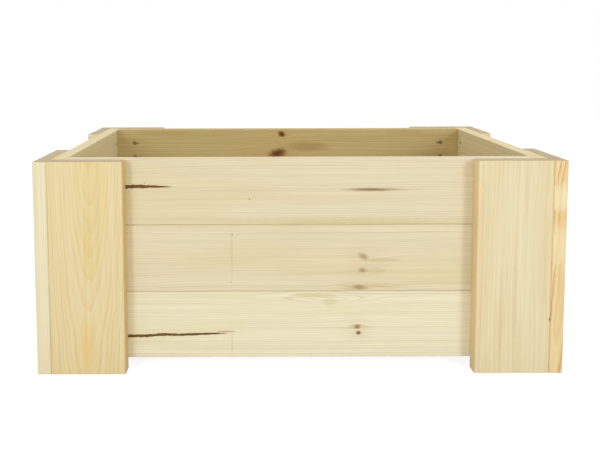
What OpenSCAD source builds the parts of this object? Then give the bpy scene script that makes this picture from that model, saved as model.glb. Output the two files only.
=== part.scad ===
// Raised planter box of tongue-and-groove boards, held by four corner legs of two boards each.
// Origin: bottom centre. X runs along the width, the front faces -Y, Z is up.

/* [Overall] */
// Width over the leg boards
planter_w = 800; // [640:5:1200]
// Depth over the leg boards, front to back
planter_d = 415; // [330:5:600]
// Height from the ground to the rim
planter_h = 327; // [270:1:400]

/* [Boards] */
// Thickness of every wall board and leg board
board_t = 21; // [17:0.5:28]
// Width that one wall board covers, without its tongue
course_h = 104.5; // [85:0.5:126]
// Thickness of the tongue
tongue_t = 6; // [4:0.5:8]
// How far the tongue stands up into the next board
tongue_h = 6; // [4:0.5:8]
// Chamfer on the long edges of the wall boards
wall_arris = 0.7; // [0.2:0.1:2]

/* [Legs] */
// Width of one leg board
leg_w = 114; // [90:1:150]
// How far the legs reach below the walls
leg_drop = 16; // [8:1:40]
// Rounding of a leg board's long edges
leg_round = 2.5; // [1:0.5:5]

/* [Floor] */
// Gap between two floor slats, for drainage
slat_gap = 8; // [5:0.5:15]
// Thickness of a floor slat
slat_t = 18; // [12:1:24]
// Chamfer on the long edges of the slats and cleats
slat_arris = 1; // [0.3:0.1:3]
// Thickness of a floor cleat, measured from its wall
cleat_t = 21; // [17:1:30]
// Height of a floor cleat
cleat_h = 28; // [20:1:40]

/* [Fasteners] */
// Shank diameter of every screw
screw_d = 4; // [3:0.5:5]
// Depth of a screw's head below the surface of the wood
screw_sink = 1.5; // [0:0.1:3]
// Wood left past the point of a screw that goes into a board's face
screw_cover = 5.5; // [4:0.5:10]
// Length of a screw from a side wall into the end of a front or back wall
corner_screw_l = 50; // [40:5:55]
// Distance from a full board's top edge down to the upper screw of a pair
screw_drop = 29; // [20:1:40]
// Distance between the two screws of a pair
screw_pitch = 30; // [20:1:40]
// Shank diameter of a slat nail
nail_d = 2.2; // [1.8:0.1:3]
// Wood left below the point of a slat nail
nail_cover = 6; // [3:0.5:10]
// Distance of a nail from a slat's long edge
nail_inset = 20; // [12:1:25]

/* [Clearances] */
// Play beside the tongue in its groove
tongue_play = 0.3; // [0.1:0.1:0.6]
// Play above the tongue in its groove
groove_play = 1; // [0.5:0.1:2]
// Gap at each end of a front or back wall, a cleat, a slat and the row of slats
end_gap = 0.6; // [0.3:0.1:0.9]
// Play around a shank in its hole
hole_play = 0.05; // [0.02:0.01:0.2]

/* [Hidden] */
courses = 3;                                   // boards in one wall
slats = 7;                                     // slats in the floor
steps = ["bottom", "middle", "top"];
walls = ["front", "back", "left", "right"];
sides = ["front", "back"];
corners = ["front_left", "front_right", "back_left", "back_right"];

board_names = [for (w = walls) for (s = steps) str(w, "_board_", s)];
face_names = [for (c = corners) str(c, "_leg_face_board")];
side_names = [for (c = corners) str(c, "_leg_side_board")];
leg_screw_names = [for (c = corners) str(c, "_leg_screws")];
corner_screw_names = [for (c = corners) str(c, "_corner_screws")];
cleat_names = [for (s = sides) str(s, "_floor_cleat")];
cleat_screw_names = [for (s = sides) str(s, "_cleat_screws")];
nail_names = [for (s = sides) str(s, "_slat_nails")];
slat_names = [for (i = [1:slats]) str("floor_slat_", i)];

wood_wall = "#e0d5ac";
wood_leg = "#e6d4a2";
wood_inside = "#d2c295";
zinc = "#c9ccce";
round_n = 32;                                  // facets that stand for a drilled or turned round

wall_x = planter_w/2 - board_t;                // outer face of a side wall
wall_y = planter_d/2 - board_t;                // outer face of the front and back walls
inner_x = wall_x - board_t;                    // inner face of a side wall
inner_y = wall_y - board_t;                    // inner face of the front and back walls
leg_face_x = wall_x - leg_w/2;                 // centreline of a face board
leg_side_y = planter_d/2 - leg_w/2;            // centreline of a side board
front_l = 2*(inner_x - end_gap);               // length of a front or back wall board
side_l = 2*wall_y;                             // length of a side wall board
cleat_z = leg_drop;                            // underside of the cleats
slat_z = cleat_z + cleat_h;                    // underside of the slats
slat_l = 2*(inner_y - end_gap);
slat_w = (front_l - (slats - 1)*slat_gap)/slats;

leg_screw_l = 2*board_t - screw_sink - screw_cover;
cleat_screw_l = cleat_t + board_t - screw_sink - screw_cover;
nail_l = slat_t + cleat_h - nail_cover;
head_d = 2*screw_d;                            // screw head, with a 90 degree cone under its rim
head_rim = 0.5;
slot_w = screw_d/4;                            // arm width of the head's cross recess
slot_l = 1.4*screw_d;
slot_depth = 1.2;
point_l = 4;                                   // point of a screw or nail
point_room = 0.5;                              // space past the point in its hole
nail_head_d = 2*nail_d;
nail_head_t = 1;

function course_z(i) = leg_drop + i*course_h;
function course_top(i) = i == courses - 1 ? planter_h : course_z(i + 1);
function course_height(i) = course_top(i) - course_z(i);
// A board narrower than a full one carries its pair of screws closer together
function pair_scale(i) = min(1, course_height(i)/course_h);
function pair_z(i) = [for (k = [0, 1]) course_top(i) - (screw_drop + k*screw_pitch)*pair_scale(i)];
function mid_z(i) = course_top(i) - (screw_drop + screw_pitch/2)*pair_scale(i);
function slat_x(i) = -front_l/2 + slat_w/2 + i*(slat_w + slat_gap);

// Everything is drawn at the front or the left and mirrored to its place
module to_back(yes) { mirror([0, yes ? 1 : 0, 0]) children(); }
module to_right(yes) { mirror([yes ? 1 : 0, 0, 0]) children(); }
module to_corner(c) { to_right(c % 2 == 1) to_back(c >= 2) children(); }

// A shank along +Z with its point, from the height z
module shank(d, l, z) {
    translate([0, 0, z]) cylinder(h = l - point_l - z, d = d, $fn = round_n);
    translate([0, 0, l - point_l]) cylinder(h = point_l, d1 = d, d2 = d/5, $fn = round_n);
}

// A countersunk screw whose head is sunk below the origin
module screw(l) {
    cone_h = (head_d - screw_d)/2;
    translate([0, 0, screw_sink]) difference() {
        union() {
            cylinder(h = head_rim, d = head_d, $fn = round_n);
            translate([0, 0, head_rim]) cylinder(h = cone_h, d1 = head_d, d2 = screw_d, $fn = round_n);
            shank(screw_d, l, head_rim);
        }
        for (a = [0, 90]) rotate(a) cube([slot_l, slot_w, 2*slot_depth], center = true);
    }
}

// The hole for that screw: a countersink and a bore down to its point
module screw_hole(l) {
    r = screw_d/2 + hole_play;
    rh = head_d/2 + hole_play;
    rim = screw_sink + head_rim;
    translate([0, 0, -1]) cylinder(h = 1 + rim, r = rh, $fn = round_n);
    translate([0, 0, rim]) cylinder(h = rh - r, r1 = rh, r2 = r, $fn = round_n);
    cylinder(h = screw_sink + l + point_room, r = r, $fn = round_n);
}

module nail() {
    cylinder(h = nail_head_t, d = nail_head_d, $fn = round_n);
    shank(nail_d, nail_l, nail_head_t);
}

module nail_hole() {
    translate([0, 0, -1]) cylinder(h = 1 + nail_head_t, d = nail_head_d + 2*hole_play, $fn = round_n);
    cylinder(h = nail_l + point_room, d = nail_d + 2*hole_play, $fn = round_n);
}

// Places of the fasteners at the front left corner and along the front cleat
module at_face_screws(i) {
    for (z = pair_z(i)) translate([-leg_face_x, -inner_y, z]) rotate([90, 0, 0]) children();
}
module at_side_screws(i) {
    for (z = pair_z(i)) translate([-inner_x, -leg_side_y, z]) rotate([0, -90, 0]) children();
}
module at_corner_screw(i) {
    translate([-wall_x, -(wall_y - board_t/2), mid_z(i)]) rotate([0, 90, 0]) children();
}
module at_cleat_screws() {
    for (i = [0:2:slats - 1])
        translate([slat_x(i), -(inner_y - cleat_t), cleat_z + cleat_h/2]) rotate([90, 0, 0]) children();
}
module at_slat_nails(i) {
    for (s = [-1, 1])
        translate([slat_x(i) + s*(slat_w/2 - nail_inset), -(inner_y - cleat_t/2), slat_z + slat_t])
            rotate([180, 0, 0]) children();
}

// Cross-section of a wall board, its outer face at x = 0: a groove below, a tongue above
module board_section(h, tongue) {
    a = wall_arris;
    t0 = board_t/2 - tongue_t/2;
    t1 = board_t/2 + tongue_t/2;
    g0 = t0 - tongue_play;
    g1 = t1 + tongue_play;
    gd = tongue_h + groove_play;
    groove = [[g0, 0], [g0, gd], [g1, gd], [g1, 0]];
    crest = tongue ? [[t1, h], [t1, h + tongue_h], [t0, h + tongue_h], [t0, h]] : [];
    polygon(concat([[0, a], [a, 0]], groove,
                   [[board_t - a, 0], [board_t, a], [board_t, h - a], [board_t - a, h]],
                   crest, [[a, h], [0, h - a]]));
}

module front_wall_board(i) {
    difference() {
        translate([-front_l/2, -wall_y, course_z(i)]) rotate([90, 0, 90])
            linear_extrude(front_l) board_section(course_height(i), i < courses - 1);
        for (right = [false, true]) to_right(right) {
            at_face_screws(i) screw_hole(leg_screw_l);
            at_corner_screw(i) screw_hole(corner_screw_l);
        }
        if (i == 0) at_cleat_screws() screw_hole(cleat_screw_l);
    }
}

module left_wall_board(i) {
    difference() {
        translate([-wall_x, side_l/2, course_z(i)]) rotate([90, 0, 0])
            linear_extrude(side_l) board_section(course_height(i), i < courses - 1);
        for (back = [false, true]) to_back(back) {
            at_side_screws(i) screw_hole(leg_screw_l);
            at_corner_screw(i) screw_hole(corner_screw_l);
        }
    }
}

// Wall w of the list of walls, board i from the bottom
module wall_board(w, i) {
    color(wood_wall) {
        if (w < 2) to_back(w == 1) front_wall_board(i);
        if (w >= 2) to_right(w == 3) left_wall_board(i);
    }
}

// Plan of a leg board along x, rounded at its four long edges
module leg_section() {
    r = leg_round;
    translate([r, 0]) square([leg_w - 2*r, board_t]);
    translate([0, r]) square([leg_w, board_t - 2*r]);
    for (x = [r, leg_w - r]) for (y = [r, board_t - r]) translate([x, y]) circle(r, $fn = round_n);
}

// A leg board standing along +X from the origin
module leg_board() { linear_extrude(planter_h) leg_section(); }

module leg_face_board(c) {
    color(wood_leg) to_corner(c) difference() {
        translate([-wall_x, -planter_d/2, 0]) leg_board();
        for (i = [0:courses - 1]) at_face_screws(i) screw_hole(leg_screw_l);
    }
}

module leg_side_board(c) {
    color(wood_leg) to_corner(c) difference() {
        translate([-wall_x, -planter_d/2, 0]) rotate(90) leg_board();
        for (i = [0:courses - 1]) at_side_screws(i) screw_hole(leg_screw_l);
    }
}

module leg_screws(c) {
    color(zinc) to_corner(c) for (i = [0:courses - 1]) {
        at_face_screws(i) screw(leg_screw_l);
        at_side_screws(i) screw(leg_screw_l);
    }
}

module corner_screws(c) {
    color(zinc) to_corner(c) for (i = [0:courses - 1]) at_corner_screw(i) screw(corner_screw_l);
}

// A plank of width w along x and thickness t along y, extruded up, with chamfered long edges
module plank(w, t, l) {
    a = slat_arris;
    linear_extrude(l)
        polygon([[a, 0], [w - a, 0], [w, a], [w, t - a], [w - a, t], [a, t], [0, t - a], [0, a]]);
}

module floor_cleat(back) {
    color(wood_inside) to_back(back) difference() {
        translate([-front_l/2, -inner_y, cleat_z]) rotate([90, 0, 90])
            plank(cleat_t, cleat_h, front_l);
        at_cleat_screws() screw_hole(cleat_screw_l);
        for (i = [0:slats - 1]) at_slat_nails(i) nail_hole();
    }
}

module cleat_screws(back) {
    color(zinc) to_back(back) at_cleat_screws() screw(cleat_screw_l);
}

module floor_slat(i) {
    color(wood_inside) difference() {
        translate([slat_x(i) - slat_w/2, slat_l/2, slat_z]) rotate([90, 0, 0])
            plank(slat_w, slat_t, slat_l);
        for (back = [false, true]) to_back(back) at_slat_nails(i) nail_hole();
    }
}

module slat_nails(back) {
    color(zinc) to_back(back) for (i = [0:slats - 1]) at_slat_nails(i) nail();
}

for (w = [0:3]) for (i = [0:courses - 1])
    wall_board(w, i);
for (c = [0:3]) {
    leg_face_board(c);
    leg_side_board(c);
    leg_screws(c);
    corner_screws(c);
}
for (s = [0, 1]) {
    floor_cleat(s == 1);
    cleat_screws(s == 1);
    slat_nails(s == 1);
}
for (i = [0:slats - 1]) floor_slat(i);
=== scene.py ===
import math
import random

import bmesh
import bpy
from mathutils import Matrix, Vector


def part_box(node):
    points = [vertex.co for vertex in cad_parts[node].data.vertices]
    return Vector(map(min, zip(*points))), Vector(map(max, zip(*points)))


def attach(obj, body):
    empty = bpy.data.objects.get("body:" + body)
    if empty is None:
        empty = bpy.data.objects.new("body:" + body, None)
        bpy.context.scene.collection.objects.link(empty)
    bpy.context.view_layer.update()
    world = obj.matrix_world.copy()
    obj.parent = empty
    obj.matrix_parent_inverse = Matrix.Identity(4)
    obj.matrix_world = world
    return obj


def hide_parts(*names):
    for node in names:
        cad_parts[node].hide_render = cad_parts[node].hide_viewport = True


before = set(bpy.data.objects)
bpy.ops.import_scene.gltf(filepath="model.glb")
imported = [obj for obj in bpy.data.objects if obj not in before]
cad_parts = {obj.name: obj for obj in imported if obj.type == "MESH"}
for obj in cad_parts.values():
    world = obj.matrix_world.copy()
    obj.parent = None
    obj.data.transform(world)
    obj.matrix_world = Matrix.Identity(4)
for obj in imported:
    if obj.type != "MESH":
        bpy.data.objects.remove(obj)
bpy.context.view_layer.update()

print("frame loaded:", len(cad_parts), "nodes")

nodeBox = {name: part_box(name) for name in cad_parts}


def rgb(red, green, blue):
    # a screen colour as the linear values that a shader takes
    def line(c):
        c /= 255
        return c / 12.92 if c < 0.04045 else ((c + 0.055) / 1.055) ** 2.4
    return (line(red), line(green), line(blue), 1.0)


class Wire:
    # one output inside a material, written in sums like a number
    def __init__(self, graph, socket):
        self.graph, self.socket = graph, socket

    def calc(self, operation, *others):
        return self.graph.maths(operation, self, *others)

    def __add__(self, other):
        return self.graph.maths("ADD", self, other)

    def __sub__(self, other):
        return self.graph.maths("SUBTRACT", self, other)

    def __mul__(self, other):
        return self.graph.maths("MULTIPLY", self, other)

    def __truediv__(self, other):
        return self.graph.maths("DIVIDE", self, other)

    def __pow__(self, other):
        return self.graph.maths("POWER", self, other)

    def __radd__(self, other):
        return self.graph.maths("ADD", other, self)

    def __rsub__(self, other):
        return self.graph.maths("SUBTRACT", other, self)

    def __rmul__(self, other):
        return self.graph.maths("MULTIPLY", other, self)

    def __abs__(self):
        return self.graph.maths("ABSOLUTE", self)


class Graph:
    # the nodes of one material or world
    def __init__(self, material):
        material.use_nodes = True
        self.tree = material.node_tree
        self.tree.nodes.clear()

    def node(self, kind, settings=None, sockets=None, out=0):
        made = self.tree.nodes.new(kind)
        for key, value in (settings or {}).items():
            if key == "stops":
                ramp = made.color_ramp
                while len(ramp.elements) < len(value):
                    ramp.elements.new(0.5)
                for stop, (place, grey) in zip(ramp.elements, value):
                    stop.position = place
                    stop.color = (grey, grey, grey, 1)
            else:
                setattr(made, key, value)
        for key, value in (sockets or {}).items():
            if isinstance(value, Wire):
                self.tree.links.new(value.socket, made.inputs[key])
            else:
                made.inputs[key].default_value = value
        if isinstance(out, tuple):
            return tuple(Wire(self, made.outputs[o]) for o in out)
        return Wire(self, made.outputs[out])

    def maths(self, operation, *values):
        return self.node("ShaderNodeMath", {"operation": operation}, dict(enumerate(values)))

    def mix(self, share, first, second):
        # inputs 6 and 7 and output 2 are the colour ones
        return self.node("ShaderNodeMix", {"data_type": "RGBA"}, {0: share, 6: first, 7: second}, out=2)

    def scale(self, colour, amount):
        return self.node("ShaderNodeVectorMath", {"operation": "SCALE"}, {0: colour, "Scale": amount})

    def fade(self, value, start, end, low=0.0, high=1.0):
        return self.node("ShaderNodeMapRange", {"interpolation_type": "SMOOTHSTEP"},
                         {0: value, 1: start, 2: end, 3: low, 4: high})

    def noise(self, vector, detail):
        # noise about zero, with features one unit long
        return self.node("ShaderNodeTexNoise", {"noise_dimensions": "3D"},
                         {"Vector": vector, "Scale": 1.0, "Detail": detail}) - 0.5

    def noiseLine(self, place):
        return self.node("ShaderNodeTexNoise", {"noise_dimensions": "1D"},
                         {"W": place, "Scale": 1.0, "Detail": 1.0}) - 0.5

    def noiseAt(self, place, stretch, detail):
        # noise that is stretched differently along each axis
        return self.noise(self.node("ShaderNodeMapping", sockets={"Vector": place, "Scale": stretch}), detail)

    def output(self, shader):
        self.node("ShaderNodeOutputMaterial", sockets={"Surface": shader}, out=())


woodTones = {
    "wall": {"early": rgb(231, 219, 187), "late": rgb(206, 187, 134), "tint": rgb(222, 208, 157)},
    "wallPale": {"early": rgb(239, 231, 202), "late": rgb(212, 196, 145), "tint": rgb(230, 220, 172)},
    # the back wall's darker tone stands in for the shade inside the box: painted shade
    "inside": {"early": rgb(204, 186, 132), "late": rgb(176, 149, 84), "tint": rgb(188, 162, 98)},
    "sideInside": {"early": rgb(234, 220, 176), "late": rgb(208, 184, 124), "tint": rgb(222, 200, 144)},
    "legYellow": {"early": rgb(233, 215, 170), "late": rgb(222, 188, 108), "tint": rgb(228, 206, 142)},
    "legPale": {"early": rgb(233, 220, 181), "late": rgb(219, 194, 140), "tint": rgb(226, 204, 156)},
    "edgePale": {"early": rgb(238, 228, 192), "late": rgb(218, 202, 150), "tint": rgb(236, 220, 178)},
    "heart": {"early": rgb(240, 218, 166), "late": rgb(206, 146, 76), "tint": rgb(230, 188, 120)},
    "floor": {"early": rgb(216, 197, 152), "late": rgb(186, 154, 98), "tint": rgb(204, 178, 126)},
}
woodShared = {
    "endTone": rgb(204, 186, 152), "endLine": rgb(156, 134, 98), "endFade": (0.55, 0.85), "sawnTone": 0.5,
    "knotDark": rgb(84, 56, 24), "knotLight": rgb(158, 114, 56), "knotHalo": rgb(206, 164, 100),
    "knotReach": (3.4, 3.0), "knotCloud": (6, 4), "knotRagged": 0.7, "knotSoft": 0.4, "haloShare": 0.3,
    "knotRim": (1.35, 0.45), "knotMiddle": (0.9, 0.2),
    "markCloud": (9, 2.5), "markRagged": 0.4, "markCore": 0.3,
    "yearSpread": 7, "yearShift": 1.6, "yearLow": 0.25, "yearRange": 0.75,
    "patchFade": (-0.02, 0.22), "patchShare": 0.6, "fibreTone": 0.12, "streakTone": 0.2,
    "rough": 0.6, "roughFibre": 0.2, "roughLate": 0.06, "roughEnd": 0.2, "specular": 0.28,
    "bumpStrength": 0.5, "bumpDepth": 0.00025, "bumpLate": 0.35, "bumpFibre": 0.8, "bumpEnd": 1.5,
}
# clouds of noise: length along the grain and across it in millimetres, shift, detail
woodClouds = {
    "bendAcross": (270, 130, 0, 1.0), "bendInto": (220, 110, 31, 1.0), "ripple": (48, 17, 7, 2.0),
    "fibre": (60, 0.8, 11, 3.0), "streak": (260, 5.5, 13, 2.0), "patch": (330, 46, 3, 2.0),
    "sawn": (40, 1.3, 17, 3.0),
}
# share of late wood from one ring to the next
ringStops = [(0, 0.6), (0.07, 0.06), (0.5, 0.12), (0.86, 0.85), (1, 1)]


def woodMaterial(name, grain, look):
    # rings round a pith line, in millimetres from the board's centre: along, across, into the board
    low, high = nodeBox[name]
    tones, shared = woodTones[look["tone"]], woodShared
    material = bpy.data.materials.new(name + "_wood")
    g = Graph(material)
    place = g.node("ShaderNodeTexCoord", out="Object")
    axis = g.node("ShaderNodeSeparateXYZ", sockets={0: place}, out=(0, 1, 2))
    along, across, into = ((axis[a] - (low[a] + high[a]) / 2) * 1000 for a in grain)
    # a step between boards that is far longer than any cloud
    seed = look["seed"] * 13.7

    def cloudOf(long, short, shift, detail=2.0):
        vector = g.node("ShaderNodeCombineXYZ",
                        sockets={0: along / long + (seed + shift), 1: across / short, 2: into / short})
        return g.noise(vector, detail)

    def cloud(kind):
        return cloudOf(*woodClouds[kind])

    pithAcross, pithInto = look["pith"]
    driftAcross, driftInto = look["drift"]
    dx = across - pithAcross - along * driftAcross + cloud("bendAcross") * look["wander"]
    dy = into - pithInto - along * driftInto + cloud("bendInto") * look["wander"]
    radius = (dx * dx + dy * dy) ** 0.5 + cloud("ripple") * look["ripple"]

    knotMask, knotHeart, halo = 0.0, 0.0, 0.0
    side = -1.0 if pithAcross > 0 else 1.0
    for knot in look["knots"]:
        # the rings part round a knot, most strongly close to it
        (x, y), (a, b) = knot["at"], knot["half"]
        u, v = along - x, across - y
        turned = knot.get("turn", 0.0)
        uu = u * math.cos(turned) + v * math.sin(turned)
        vv = v * math.cos(turned) - u * math.sin(turned)
        reachAlong, reachAcross = a * shared["knotReach"][0], b * shared["knotReach"][1]
        near = ((u / reachAlong) ** 2 + (v / reachAcross) ** 2).calc("MULTIPLY", -1.0).calc("EXPONENT")
        away = v / ((v * v + b * b * shared["knotSoft"]) ** 0.5)
        radius = radius - near * (side * knot["swirl"]) * away
        far = ((uu / a) ** 2 + (vv / b) ** 2) ** 0.5 + cloudOf(*shared["knotCloud"], x) * shared["knotRagged"]
        knotMask = g.fade(far, *shared["knotRim"], 0.0, knot["dark"]).calc("MAXIMUM", knotMask)
        knotHeart = g.fade(far, *shared["knotMiddle"], 0.0, knot["dark"] ** 2).calc("MAXIMUM", knotHeart)
        halo = (near * knot["dark"] * shared["haloShare"]).calc("MAXIMUM", halo)

    spread = look["ring"] * shared["yearSpread"]
    rings = radius / look["ring"] + g.noiseLine(radius / spread + seed) * shared["yearShift"]
    line = g.node("ShaderNodeValToRGB", {"stops": ringStops}, {0: rings.calc("FRACT")})
    year = g.node("ShaderNodeTexWhiteNoise", {"noise_dimensions": "1D"}, {"W": rings.calc("FLOOR")})
    late = line * (year * shared["yearRange"] + shared["yearLow"]) * look["contrast"]

    fibre = cloud("fibre")
    patch = g.fade(cloud("patch"), *shared["patchFade"], 0.0, shared["patchShare"])
    colour = g.mix(late, tones["early"], tones["late"])
    colour = g.mix(patch, colour, tones["tint"])
    for mark in look["marks"]:
        # a soft lens of colour along the grain: bands, pitch streaks and small specks, and painted shade along
        # the seams, in a knot hole and on a leg's inner edge
        (x, y), (a, b) = mark["at"], mark["half"]
        ragged = cloudOf(*shared["markCloud"], y) * mark.get("ragged", shared["markRagged"])
        far = (((along - x) / a) ** 2 + ((across - y) / b) ** 2) ** 0.5 + ragged
        inside = g.fade(far, 1.0, mark.get("core", shared["markCore"]), 0.0, mark["share"])
        colour = g.mix(inside, colour, mark["colour"])
    if look["knots"]:
        colour = g.mix(halo, colour, shared["knotHalo"])
        colour = g.mix(knotMask, colour, shared["knotLight"])
        colour = g.mix(knotHeart, colour, shared["knotDark"])
    colour = g.scale(colour, 1 + fibre * shared["fibreTone"] + cloud("streak") * shared["streakTone"])

    # end grain wherever the surface faces along the board
    normal = g.node("ShaderNodeNewGeometry", out="True Normal")
    facing = g.node("ShaderNodeSeparateXYZ", sockets={0: normal}, out=(0, 1, 2))[grain[0]]
    end = g.fade(abs(facing), *shared["endFade"])
    sawn = cloud("sawn")
    endColour = g.scale(g.mix(late, shared["endTone"], shared["endLine"]), 1 + sawn * shared["sawnTone"])
    colour = g.mix(end, colour, endColour)

    height = late * shared["bumpLate"] + fibre * shared["bumpFibre"] + end * sawn * shared["bumpEnd"]
    rough = (shared["rough"] + fibre * shared["roughFibre"] - late * shared["roughLate"]
             + end * shared["roughEnd"])
    bump = g.node("ShaderNodeBump", sockets={
        "Strength": shared["bumpStrength"], "Distance": shared["bumpDepth"], "Height": height})
    shader = g.node("ShaderNodeBsdfPrincipled", sockets={
        "Base Color": colour, "Roughness": rough, "Specular IOR Level": shared["specular"], "Normal": bump})
    g.output(shader)
    return material


zincLook = {
    "bright": rgb(176, 158, 112), "dull": rgb(120, 102, 66), "patchScale": (900, 900, 900),
    "scratchScale": (4000, 4000, 600), "scratchTone": 0.15, "rough": 0.42, "roughPatch": 0.3,
    "bumpStrength": 0.3, "bumpDepth": 0.0001,
}


def zincMaterial():
    look = zincLook
    material = bpy.data.materials.new("zinc_plated_steel")
    g = Graph(material)
    place = g.node("ShaderNodeTexCoord", out="Object")
    patches = g.noiseAt(place, look["patchScale"], 3.0)
    scratch = g.noiseAt(place, look["scratchScale"], 2.0)
    colour = g.mix(g.fade(patches, -0.15, 0.25), look["bright"], look["dull"])
    colour = g.scale(colour, 1 + scratch * look["scratchTone"])
    bump = g.node("ShaderNodeBump", sockets={
        "Strength": look["bumpStrength"], "Distance": look["bumpDepth"], "Height": scratch})
    shader = g.node("ShaderNodeBsdfPrincipled", sockets={
        "Base Color": colour, "Metallic": 1.0, "Roughness": look["rough"] + patches * look["roughPatch"],
        "Normal": bump})
    g.output(shader)
    return material


# axes of a board's mesh along its grain, across it and into the board
grainAxes = {"wall": (0, 2, 1), "sideWall": (1, 2, 0), "legFace": (2, 0, 1), "legSide": (2, 1, 0),
             "cleat": (0, 2, 1), "slat": (1, 0, 2)}
boardDefaults = {"tone": "wall", "pith": (-140, 40), "drift": (0.004, 0.006), "ring": 3.1, "wander": 14,
                 "ripple": 1.4, "contrast": 0.7, "knots": [], "marks": []}
# places and half sizes of knots and marks are in millimetres from the board's centre: along, across
boardLooks = {
    "front_board_top": {"pith": (-150, 30), "contrast": 0.6, "ring": 3.3, "marks": [
        {"at": (110, 3.4), "half": (58, 3.9), "share": 0.88, "colour": rgb(126, 90, 38), "core": 0.0},
        {"at": (136, 3.2), "half": (70, 2.0), "share": 0.35, "colour": rgb(170, 134, 72)},
        {"at": (-212, 8.4), "half": (24, 2.0), "share": 0.8, "colour": rgb(160, 116, 60)},
        {"at": (80, -47), "half": (330, 12), "share": 0.6, "colour": rgb(206, 190, 122), "core": 0.0,
         "ragged": 0.6},
        {"at": (-236, 14.7), "half": (2.0, 1.4), "share": 0.6, "colour": rgb(150, 116, 60)},
        {"at": (-76, -11), "half": (1.7, 1.5), "share": 0.8, "colour": rgb(110, 76, 30)}]},
    "front_board_middle": {"pith": (-130, 60), "ring": 2.9, "knots": [
        {"at": (98, 0), "half": (9, 5), "dark": 0.42, "swirl": 6, "turn": -0.5},
        {"at": (97, -22), "half": (7.5, 4.0), "dark": 0.46, "swirl": 5},
        {"at": (92, -49), "half": (13, 4.0), "dark": 0.46, "swirl": 6}], "marks": [
        {"at": (130, -6), "half": (36, 4), "share": 0.4, "colour": rgb(200, 168, 108), "ragged": 0.8},
        {"at": (120, -22), "half": (24, 6), "share": 0.3, "colour": rgb(206, 178, 122), "ragged": 0.8},
        {"at": (112, -47), "half": (74, 4), "share": 0.45, "colour": rgb(204, 174, 112), "ragged": 0.8},
        {"at": (-103, 34), "half": (2.0, 2.0), "share": 0.5, "colour": rgb(130, 96, 46)},
        {"at": (-105, -40), "half": (1.6, 2.0), "share": 0.4, "colour": rgb(150, 116, 60)},
        {"at": (-104, 4), "half": (2.6, 50), "share": 0.2, "colour": rgb(180, 156, 108), "ragged": 0.9}]},
    "front_board_bottom": {"tone": "wallPale", "pith": (-135, 50), "ring": 3.2, "wander": 9, "knots": [
        {"at": (28, 41), "half": (24, 6), "dark": 0.0, "swirl": 9},
        {"at": (60, 24), "half": (16, 7), "dark": 0.0, "swirl": -9, "turn": -0.5},
        {"at": (90, -7), "half": (5.4, 4.2), "dark": 0.62, "swirl": 4},
        {"at": (92, -17), "half": (4.2, 3.3), "dark": 0.8, "swirl": 3}], "marks": [
        {"at": (-114, -14.6), "half": (22, 1.6), "share": 0.7, "colour": rgb(166, 124, 68)},
        {"at": (24, 43), "half": (48, 5), "share": 0.55, "colour": rgb(210, 194, 124), "ragged": 0.9},
        {"at": (48, 33), "half": (18, 9), "share": 0.5, "colour": rgb(214, 200, 134), "ragged": 0.9},
        {"at": (-104, -30), "half": (2.6, 30), "share": 0.22, "colour": rgb(196, 172, 122), "ragged": 0.9}]},
    "back_board_top": {"ring": 3.6, "contrast": 0.65, "knots": [
        {"at": (-13, 41), "half": (9, 6), "dark": 1.0, "swirl": 6, "turn": -0.4},
        {"at": (-22, 0), "half": (21, 11), "dark": 0.95, "swirl": 12, "turn": 0.25}], "marks": [
        {"at": (40, 14), "half": (60, 14), "share": 0.45, "colour": rgb(150, 120, 62), "ragged": 0.9},
        {"at": (-316, 22), "half": (5, 2.5), "share": 0.7, "colour": rgb(104, 82, 44)},
        {"at": (316, 22), "half": (5, 2.5), "share": 0.7, "colour": rgb(104, 82, 44)}]},
    "back_board_middle": {"knots": [
        {"at": (-150, 8), "half": (8, 6), "dark": 0.9, "swirl": 7}]},
    "front_left_leg_face_board": {
        "tone": "legYellow", "pith": (4, 28), "drift": (0.012, -0.07), "ring": 3.7, "wander": 9, "ripple": 3.6,
        "contrast": 0.62, "marks": [
            # a dark strip on the inner edge and side face: painted shade
            {"at": (0, 57.4), "half": (600, 2.6), "share": 0.7, "colour": rgb(206, 170, 108), "core": 0.5,
             "ragged": 0.0},
            {"at": (-118, 0), "half": (60, 18), "share": 0.5, "colour": rgb(232, 200, 118), "ragged": 0.9},
            {"at": (40, 2), "half": (70, 9), "share": 0.4, "colour": rgb(230, 204, 124), "ragged": 0.9}]},
    "front_right_leg_face_board": {
        "tone": "legPale", "pith": (110, 60), "drift": (0.006, 0.012), "ring": 5.2, "wander": 20,
        "contrast": 0.45, "marks": [
            {"at": (0, -57.4), "half": (600, 2.6), "share": 0.7, "colour": rgb(230, 196, 138), "core": 0.5,
             "ragged": 0.0},
            # a dark spot for a small knot hole at the edge: painted shade
            {"at": (-79, 56), "half": (4.5, 2), "share": 0.95, "colour": rgb(64, 46, 28)},
            {"at": (0, -50), "half": (260, 5), "share": 0.4, "colour": rgb(224, 190, 132), "ragged": 0.8},
            {"at": (-40, 2), "half": (150, 6), "share": 0.4, "colour": rgb(226, 196, 152), "ragged": 1.0},
            {"at": (-80, -18), "half": (90, 6), "share": 0.4, "colour": rgb(222, 192, 130), "ragged": 1.0},
            {"at": (120, 16), "half": (60, 4), "share": 0.4, "colour": rgb(220, 196, 152), "ragged": 1.0}]},
    "front_left_leg_side_board": {"tone": "edgePale", "pith": (-40, 60), "contrast": 0.5},
    "front_right_leg_side_board": {
        "tone": "heart", "pith": (-70, 8), "drift": (0.02, 0.09), "ring": 6.0, "wander": 22, "ripple": 5,
        "contrast": 0.9, "marks": [
            {"at": (108, -57), "half": (28, 8), "share": 0.8, "colour": rgb(240, 226, 182), "ragged": 1.2},
            {"at": (34, -57), "half": (46, 8), "share": 0.75, "colour": rgb(240, 224, 176), "ragged": 1.2},
            {"at": (-96, -57), "half": (30, 8), "share": 0.5, "colour": rgb(236, 208, 148), "ragged": 1.2}]},
}


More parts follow.
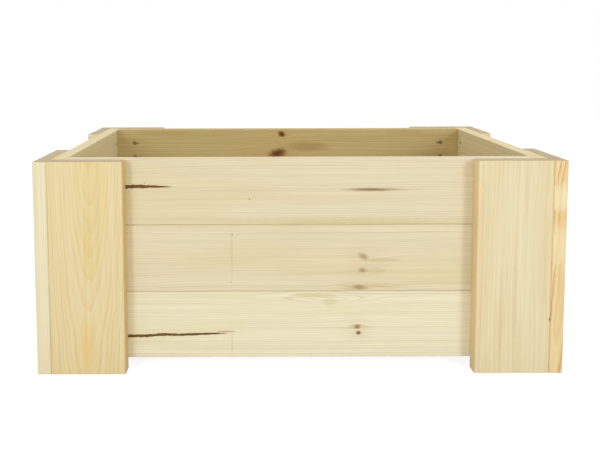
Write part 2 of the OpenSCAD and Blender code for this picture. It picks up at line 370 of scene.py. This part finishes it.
drawRange = {"pithAcross": (-120, 120), "pithInto": (22, 60), "driftAcross": (-0.02, 0.02),
             "driftInto": (-0.03, 0.03), "ring": (2.6, 3.8)}


def boardLook(node, extra, seed):
    # a board that has no look of its own is sawn from anywhere in the log
    draw = random.Random(seed)
    look = dict(boardDefaults)
    pithAcross, pithSide = draw.uniform(*drawRange["pithAcross"]), draw.choice((-1, 1))
    look["pith"] = (pithAcross, pithSide * draw.uniform(*drawRange["pithInto"]))
    look["drift"] = (draw.uniform(*drawRange["driftAcross"]), draw.uniform(*drawRange["driftInto"]))
    look["ring"] = draw.uniform(*drawRange["ring"])
    look["seed"] = seed
    look.update(extra)
    look.update(boardLooks.get(node, {}))
    look["marks"] = extra.get("marks", []) + boardLooks.get(node, {}).get("marks", [])
    return look


boardShape = {"endRound": 0.0007, "endSegments": 2, "endNear": 1e-5, "endAngle": 0.6, "weld": 1e-6,
              "flat": math.radians(0.5), "smooth": math.radians(32)}


def makeBoard(node, kind, extra, seed):
    # the board as it was planed and drilled, with its end edges eased
    low, high = nodeBox[node]
    grain = grainAxes[kind]
    bm = bmesh.new()
    bm.from_mesh(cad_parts[node].data)
    bmesh.ops.remove_doubles(bm, verts=bm.verts, dist=boardShape["weld"])
    if kind in ("legFace", "legSide", "slat"):
        bmesh.ops.dissolve_limit(bm, angle_limit=boardShape["flat"], verts=bm.verts, edges=bm.edges)
        axis = grain[0]
        ends = [e for e in bm.edges for z in (low[axis], high[axis])
                if all(abs(v.co[axis] - z) < boardShape["endNear"] for v in e.verts)
                and len(e.link_faces) == 2 and e.calc_face_angle(0) > boardShape["endAngle"]]
        bmesh.ops.bevel(bm, geom=ends, offset=boardShape["endRound"], segments=boardShape["endSegments"],
                        profile=0.5, affect="EDGES", clamp_overlap=True)
    bmesh.ops.triangulate(bm, faces=[f for f in bm.faces if len(f.verts) > 4])
    mesh = bpy.data.meshes.new(node + "_mesh")
    bm.to_mesh(mesh)
    bm.free()
    # the shading is worked out anew below
    for name in ("custom_normal", "sharp_face", "sharp_edge"):
        if name in mesh.attributes:
            mesh.attributes.remove(mesh.attributes[name])
    mesh.materials.append(woodMaterial(node, grain, boardLook(node, extra, seed)))
    mesh.shade_smooth()
    mesh.set_sharp_from_angle(angle=boardShape["smooth"])
    piece = bpy.data.objects.new(node + "_board", mesh)
    bpy.context.scene.collection.objects.link(piece)
    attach(piece, "root")
    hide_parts(node)
    return piece


# a thin darker line where one wall board sits on the next: painted shade
seamShadeLook = {"half": (2000, 1.2), "share": 0.55, "colour": rgb(162, 138, 84), "ragged": 0.0, "lift": 0.6}


def seamShadeMark(node):
    # painted shade along a board's lower edge, where it sits on the board below
    low, high = nodeBox[node]
    halfHeight = (high.z - low.z) * 1000 / 2
    return dict(seamShadeLook, at=(0, seamShadeLook["lift"] - halfHeight))


# the back wall takes the darker inside tone, which is painted shade
wallTone = {"front": "wall", "back": "inside", "left": "sideInside", "right": "sideInside"}
pieces = {}
seed = 1
for wall in ("front", "back", "left", "right"):
    for step in ("bottom", "middle", "top"):
        node = f"{wall}_board_{step}"
        kind = "wall" if wall in ("front", "back") else "sideWall"
        # painted shade at the seam on every board above the bottom one
        seamShades = [] if step == "bottom" else [seamShadeMark(node)]
        pieces[node] = makeBoard(node, kind, {"tone": wallTone[wall], "marks": seamShades}, seed)
        seed += 1
print("walls made")

for corner in ("front_left", "front_right", "back_left", "back_right"):
    for part, kind in (("face", "legFace"), ("side", "legSide")):
        node = f"{corner}_leg_{part}_board"
        pieces[node] = makeBoard(node, kind, {"tone": "legPale", "contrast": 0.6}, seed)
        seed += 1
print("legs made")

for node in sorted(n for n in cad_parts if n.startswith("floor_slat") or n.endswith("floor_cleat")):
    kind = "slat" if "slat" in node else "cleat"
    pieces[node] = makeBoard(node, kind, {"tone": "floor"}, seed)
    seed += 1
print("floor made")

zinc = zincMaterial()
for name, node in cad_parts.items():
    if name.endswith("screws") or name.endswith("nails"):
        node.data.materials.clear()
        node.data.materials.append(zinc)
print("fasteners finished")


crackShape = {"step": 0.003, "outside": 0.001, "leastHalf": 0.00006, "fullHalf": 0.001, "bottomShare": 0.35,
              "raggedHalf": (0.82, 1.15), "raggedHeight": 0.1}
frontFace = nodeBox["front_board_top"][0].y
# each split runs from under the left leg along the grain: x and z, and half its height there
cracks = {
    "front_board_top": {
        "points": [(-0.300, 0.2850), (-0.258, 0.2850), (-0.234, 0.2852), (-0.216, 0.2852), (-0.197, 0.2849)],
        "half": [0.0036, 0.0035, 0.0032, 0.0018, 0.0001], "depth": 0.0024, "seed": 5},
    "front_board_bottom": {
        "points": [(-0.300, 0.0500), (-0.266, 0.0503), (-0.235, 0.0508), (-0.212, 0.0527), (-0.186, 0.0520),
                   (-0.158, 0.0530), (-0.134, 0.0538), (-0.110, 0.0540)],
        "half": [0.0033, 0.0031, 0.0028, 0.0029, 0.0024, 0.0024, 0.0018, 0.0001], "depth": 0.0022, "seed": 9},
}
crackLook = {
    "deep": rgb(114, 76, 36), "edge": rgb(156, 116, 64), "grainScale": (70, 900, 900),
    "fineScale": (400, 2500, 2500), "fineShare": 0.4, "rough": 0.75, "roughGrain": 0.3, "specular": 0.2,
    "bumpStrength": 0.6, "bumpDepth": 0.0004,
}


def crackMaterial():
    look = crackLook
    material = bpy.data.materials.new("crack_wood")
    g = Graph(material)
    place = g.node("ShaderNodeTexCoord", out="Object")
    mottled = g.noiseAt(place, look["grainScale"], 3.0)
    fine = g.noiseAt(place, look["fineScale"], 2.0)
    colour = g.mix(g.fade(mottled + fine * look["fineShare"], -0.2, 0.25), look["deep"], look["edge"])
    bump = g.node("ShaderNodeBump", sockets={
        "Strength": look["bumpStrength"], "Distance": look["bumpDepth"], "Height": mottled + fine})
    shader = g.node("ShaderNodeBsdfPrincipled", sockets={
        "Base Color": colour, "Roughness": look["rough"] + mottled * look["roughGrain"],
        "Specular IOR Level": look["specular"], "Normal": bump})
    g.output(shader)
    return material


def valueAt(xs, ys, x):
    for (x0, y0), (x1, y1) in zip(zip(xs, ys), zip(xs[1:], ys[1:])):
        if x <= x1:
            return y0 + (y1 - y0) * (x - x0) / (x1 - x0)
    return ys[-1]


def carve(node, crack, material):
    # a ragged wedge along the grain, cut out of the board's outer face
    draw = random.Random(crack["seed"])
    xs = [p[0] for p in crack["points"]]
    zs = [p[1] for p in crack["points"]]
    shape = crackShape
    bm = bmesh.new()
    last = None
    count = int((xs[-1] - xs[0]) / shape["step"])
    for i in range(count + 1):
        x = xs[0] + (xs[-1] - xs[0]) * i / count
        half = max(valueAt(xs, crack["half"], x) * draw.uniform(*shape["raggedHalf"]), shape["leastHalf"])
        z = valueAt(xs, zs, x) + draw.uniform(-shape["raggedHeight"], shape["raggedHeight"]) * half
        outer = frontFace - shape["outside"]
        inner = frontFace + crack["depth"] * min(1.0, half / shape["fullHalf"])
        floor = half * shape["bottomShare"]
        loop = [bm.verts.new(p) for p in ((x, outer, z - half), (x, inner, z - floor),
                                          (x, inner, z + floor), (x, outer, z + half))]
        if last:
            for k in range(4):
                bm.faces.new((last[k], last[(k + 1) % 4], loop[(k + 1) % 4], loop[k]))
        else:
            bm.faces.new(loop)
        last = loop
    bm.faces.new(reversed(last))
    bmesh.ops.recalc_face_normals(bm, faces=bm.faces)
    mesh = bpy.data.meshes.new("cutter")
    bm.to_mesh(mesh)
    bm.free()
    # the cutter's slots follow the board's: the board's wood, then the split's
    mesh.materials.append(None)
    mesh.materials.append(material)
    for face in mesh.polygons:
        face.material_index = 1
    cutter = bpy.data.objects.new("cutter", mesh)
    bpy.context.scene.collection.objects.link(cutter)
    piece = pieces[node]
    piece.data.materials.append(material)
    cut = piece.modifiers.new("crack", "BOOLEAN")
    cut.operation, cut.solver, cut.object = "DIFFERENCE", "EXACT", cutter
    graph = bpy.context.evaluated_depsgraph_get()
    done = bpy.data.meshes.new_from_object(piece.evaluated_get(graph))
    piece.modifiers.clear()
    piece.data = done
    bpy.data.objects.remove(cutter)


crackWood = crackMaterial()
for node, crack in cracks.items():
    carve(node, crack, crackWood)
print("cracks cut")


stageLook = {"floorSize": 12.0, "floorColour": (0.82, 0.82, 0.82, 1), "seenColour": (0.3, 0.3, 0.3, 1),
             "seenGlow": 0.872, "white": (1, 1, 1, 1), "skyLight": 0.44}


def seenRays(g):
    # 1 for rays that show the backdrop itself, 0 for those that light the object
    ray = g.node("ShaderNodeLightPath", out=("Is Camera Ray", "Is Glossy Ray", "Is Transmission Ray"))
    return (ray[0] + ray[1] + ray[2]).calc("MINIMUM", 1.0)


def makeStage():
    # a floor that looks white and keeps a faint shadow, under a white sky
    bm = bmesh.new()
    bmesh.ops.create_grid(bm, x_segments=1, y_segments=1, size=stageLook["floorSize"])
    mesh = bpy.data.meshes.new("floor")
    bm.to_mesh(mesh)
    bm.free()
    floor = bpy.data.objects.new("floor", mesh)
    bpy.context.scene.collection.objects.link(floor)
    material = bpy.data.materials.new("pale_floor")
    g = Graph(material)
    bounce = g.node("ShaderNodeBsdfDiffuse", sockets={"Color": stageLook["floorColour"]})
    thin = g.node("ShaderNodeBsdfDiffuse", sockets={"Color": stageLook["seenColour"]})
    glow = g.node("ShaderNodeEmission", sockets={
        "Color": stageLook["white"], "Strength": stageLook["seenGlow"]})
    shown = g.node("ShaderNodeAddShader", sockets={0: glow, 1: thin})
    g.output(g.node("ShaderNodeMixShader", sockets={0: seenRays(g), 1: bounce, 2: shown}))
    mesh.materials.append(material)

    world = bpy.data.worlds.new("studio")
    bpy.context.scene.world = world
    g = Graph(world)
    strength = stageLook["skyLight"] + seenRays(g) * (1.0 - stageLook["skyLight"])
    sky = g.node("ShaderNodeBackground", sockets={"Color": stageLook["white"], "Strength": strength})
    g.node("ShaderNodeOutputWorld", sockets={"Surface": sky}, out=())


lamps = {
    "leftSoftbox": {"at": (-1.5, -2.6, 1.2), "size": (0.8, 1.2), "watts": 23},
    "rightSoftbox": {"at": (1.9, -2.4, 1.2), "size": (0.7, 1.2), "watts": 26},
    "topSoftbox": {"at": (0.0, 0.2, 2.6), "size": (2.2, 1.6), "watts": 23},
}


lampAim = Vector((0, 0, 0.15))


def makeLamps():
    for name, lamp in lamps.items():
        data = bpy.data.lights.new(name, "AREA")
        data.shape = "RECTANGLE"
        data.size, data.size_y = lamp["size"]
        data.energy = lamp["watts"]
        light = bpy.data.objects.new(name, data)
        light.location = lamp["at"]
        aim = lampAim - Vector(lamp["at"])
        light.rotation_mode = "QUATERNION"
        light.rotation_quaternion = aim.to_track_quat("-Z", "Y")
        light.visible_camera = False
        bpy.context.scene.collection.objects.link(light)


cameraLook = {"at": (-0.0640, -1.0953, 0.4895), "pitch": 3.89, "roll": -0.168, "lens": 36.2,
              "sensor": 36, "shift": (0.0714, -0.22), "clip": (0.01, 100)}


def makeCamera():
    data = bpy.data.cameras.new("camera")
    data.lens = cameraLook["lens"]
    data.sensor_width = cameraLook["sensor"]
    data.shift_x, data.shift_y = cameraLook["shift"]
    data.clip_start, data.clip_end = cameraLook["clip"]
    camera = bpy.data.objects.new("camera", data)
    turn = (Matrix.Rotation(math.radians(90 - cameraLook["pitch"]), 4, "X")
            @ Matrix.Rotation(math.radians(cameraLook["roll"]), 4, "Z"))
    camera.matrix_world = Matrix.Translation(cameraLook["at"]) @ turn
    bpy.context.scene.collection.objects.link(camera)
    bpy.context.scene.camera = camera


makeStage()
makeLamps()
makeCamera()
bpy.context.scene.view_settings.view_transform = "Standard"
print("stage, lamps and camera set")
